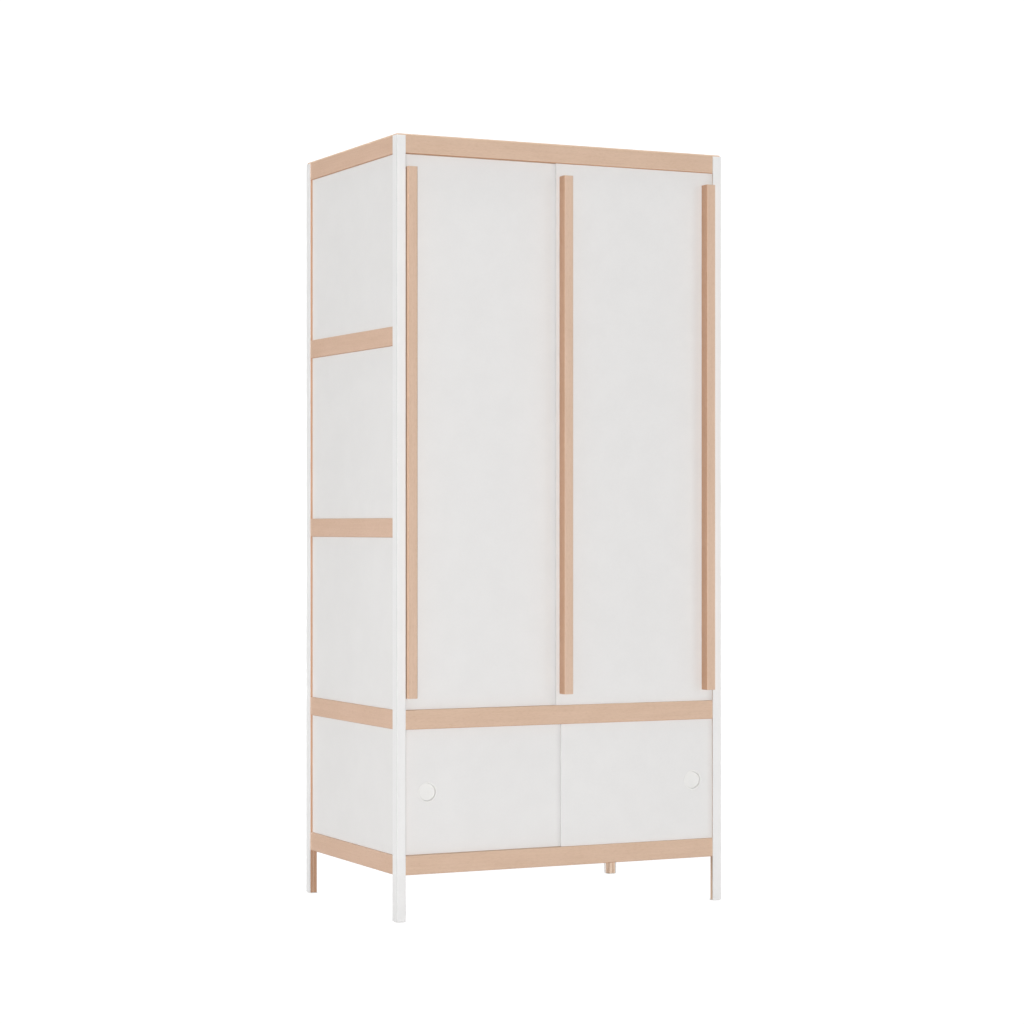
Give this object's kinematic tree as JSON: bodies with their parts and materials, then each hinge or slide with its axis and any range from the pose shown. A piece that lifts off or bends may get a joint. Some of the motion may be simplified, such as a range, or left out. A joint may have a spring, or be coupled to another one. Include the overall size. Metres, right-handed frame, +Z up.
{
  "type": "wardrobe with sliding doors",
  "caption": "Tall wardrobe on legs with white corner profiles, beech rails, thin white panels, sliding doors with long beech bars above and finger-pull sliding doors below.",
  "frame": {"origin": "on the floor under the middle of the whole box, the bars on the doors included", "axes": "+Z up, -Y towards the front with the doors, +X to the right seen from the front"},
  "size_m": [0.963, 0.655, 2.03],
  "materials": {
    "powder_coated_profile": "satin white powder coat",
    "oiled_beech": "matt oiled beech, grain along each piece",
    "white_panel": "matt white laminate",
    "white_door_leaf": "matt white laminate",
    "white_plastic": "satin moulded plastic",
    "glide_plastic": "fine moulded texture",
    "runner_plastic": "low friction strip",
    "dowel_wood": "plain beech",
    "satin_steel": "satin brushed along the rod",
    "zinc_screw": "bright zinc"
  },
  "bodies": {
    "carcass": {"back_panel_bottom": "white_panel", "back_panel_lower": "white_panel", "back_panel_top": "white_panel", "back_panel_upper": "white_panel", "back_rail_bottom": "oiled_beech", "back_rail_centre": "oiled_beech", "back_rail_lower": "oiled_beech", "back_rail_top": "oiled_beech", "back_rail_upper": "oiled_beech", "bottom_board": "oiled_beech", "corner_profile_front_left": "powder_coated_profile", "corner_profile_front_right": "powder_coated_profile", "corner_profile_rear_left": "powder_coated_profile", "corner_profile_rear_right": "powder_coated_profile", "door_runners": "runner_plastic", "floor_glides": "glide_plastic", "front_rail_bottom": "oiled_beech", "front_rail_middle": "oiled_beech", "front_rail_top": "oiled_beech", "left_panel_bottom": "white_panel", "left_panel_lower": "white_panel", "left_panel_top": "white_panel", "left_panel_upper": "white_panel", "left_rail_bottom": "oiled_beech", "left_rail_centre": "oiled_beech", "left_rail_lower": "oiled_beech", "left_rail_top": "oiled_beech", "left_rail_upper": "oiled_beech", "middle_board": "oiled_beech", "post_front_left": "oiled_beech", "post_front_right": "oiled_beech", "post_rear_left": "oiled_beech", "post_rear_right": "oiled_beech", "rail_dowels": "dowel_wood", "right_panel_bottom": "white_panel", "right_panel_lower": "white_panel", "right_panel_top": "white_panel", "right_panel_upper": "white_panel", "right_rail_bottom": "oiled_beech", "right_rail_centre": "oiled_beech", "right_rail_lower": "oiled_beech", "right_rail_top": "oiled_beech", "right_rail_upper": "oiled_beech", "rod_socket_left": "satin_steel", "rod_socket_right": "satin_steel", "socket_screws": "zinc_screw", "top_board": "oiled_beech"},
    "upper_left_sliding_door": {"upper_left_door": "white_door_leaf", "upper_left_door_bar": "oiled_beech", "upper_left_bar_screws": "zinc_screw"},
    "upper_right_sliding_door": {"upper_right_door": "white_door_leaf", "upper_right_door_bar_inner": "oiled_beech", "upper_right_door_bar_outer": "oiled_beech", "upper_right_bar_screws": "zinc_screw"},
    "lower_left_sliding_door": {"lower_left_door": "white_door_leaf", "lower_left_pull": "white_plastic"},
    "lower_right_sliding_door": {"lower_right_door": "white_door_leaf", "lower_right_pull": "white_plastic"},
    "clothes_rod": {"hanging_rod": "satin_steel"}
  },
  "joints": [
    {"name": "upper_left_slide", "type": "slide", "parent": "carcass", "child": "upper_left_sliding_door", "axis": [1, 0, 0], "range_m": [0, 0.405]},
    {"name": "upper_right_slide", "type": "slide", "parent": "carcass", "child": "upper_right_sliding_door", "axis": [1, 0, 0], "range_m": [-0.405, 0]},
    {"name": "lower_left_slide", "type": "slide", "parent": "carcass", "child": "lower_left_sliding_door", "axis": [1, 0, 0], "range_m": [0, 0.444]},
    {"name": "lower_right_slide", "type": "slide", "parent": "carcass", "child": "lower_right_sliding_door", "axis": [1, 0, 0], "range_m": [-0.457, 0]},
    {"name": "rod_turn", "type": "hinge", "parent": "carcass", "child": "clothes_rod", "pos_m": [0, 0.0095, 1.95], "axis": [1, 0, 0], "continuous": true}
  ]
}
